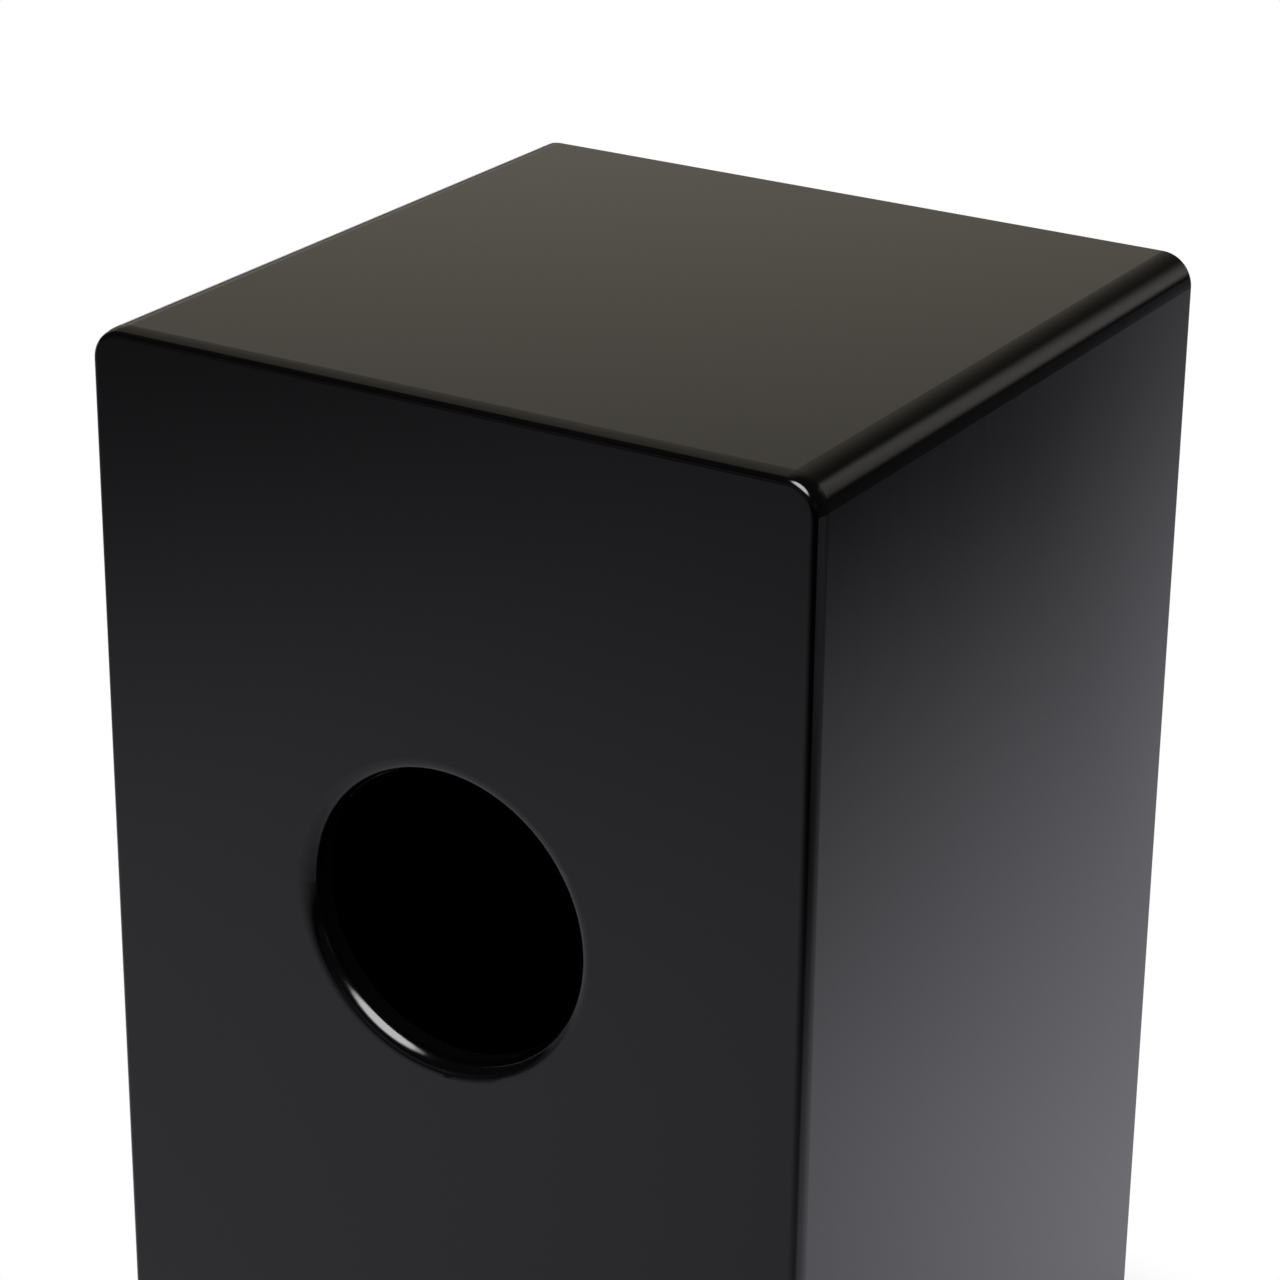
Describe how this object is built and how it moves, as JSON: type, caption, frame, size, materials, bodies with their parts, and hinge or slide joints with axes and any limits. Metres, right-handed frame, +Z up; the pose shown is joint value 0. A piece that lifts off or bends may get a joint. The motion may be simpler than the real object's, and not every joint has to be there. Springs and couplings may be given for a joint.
{
  "type": "cajon",
  "caption": "Box drum to sit on: lacquered wooden shell with a round sound port in the back, a screwed striking plate in front, rubber feet and a lever-thrown snare bar inside.",
  "frame": {"origin": "centre of the footprint, on the floor under the rubber feet", "axes": "+Z up, +Y towards the back panel and its sound port, -Y towards the struck front plate, +X to the right as seen from the front"},
  "size_m": [0.3, 0.297, 0.48],
  "materials": {
    "black_lacquer": "satin black lacquer, sprayed over sanded board, with faint vertical grain and sanding lines",
    "birch": "plain sawn, unfinished",
    "beech": "turned and sanded, unfinished",
    "steel": "bright zinc plate",
    "black_steel": "black phosphate",
    "black_rubber": "matt moulded rubber",
    "nylon": "fine moulded texture"
  },
  "bodies": {
    "shell": {"seat_panel": "black_lacquer", "base_panel": "black_lacquer", "left_side_panel": "black_lacquer", "right_side_panel": "black_lacquer", "back_panel": "black_lacquer", "front_plate": "black_lacquer", "seat_dowels": "beech", "base_dowels": "beech", "seat_left_corner_block": "birch", "seat_right_corner_block": "birch", "base_left_corner_block": "birch", "base_right_corner_block": "birch", "front_plate_screws": "black_steel", "front_left_foot": "black_rubber", "front_right_foot": "black_rubber", "rear_left_foot": "black_rubber", "rear_right_foot": "black_rubber", "foot_washers": "steel", "foot_screws": "steel", "pivot_bracket": "nylon", "clamp_bracket": "nylon", "bracket_screws": "black_steel", "clamp_stud": "steel", "clamp_nut": "steel", "clamp_washer": "steel"},
    "clamp_knob": {"clamp_knob": "nylon"},
    "snare_unit": {"snare_bar": "beech", "pivot_pins": "steel", "left_snare_plate": "steel", "right_snare_plate": "steel", "left_snare_wires": "steel", "right_snare_wires": "steel", "snare_plate_screws": "steel", "snare_lever": "steel", "lever_grip": "black_rubber", "lever_screws": "black_steel"}
  },
  "joints": [
    {"name": "snare_throw", "type": "hinge", "parent": "shell", "child": "snare_unit", "pos_m": [0, -0.1175, 0.3], "axis": [-1, 0, 0], "range_deg": [0, 30]},
    {"name": "clamp_knob_turn", "type": "hinge", "parent": "shell", "child": "clamp_knob", "pos_m": [0.122, -0.0975, 0.284], "axis": [0, 0, 1], "range_deg": [0, 360]}
  ]
}
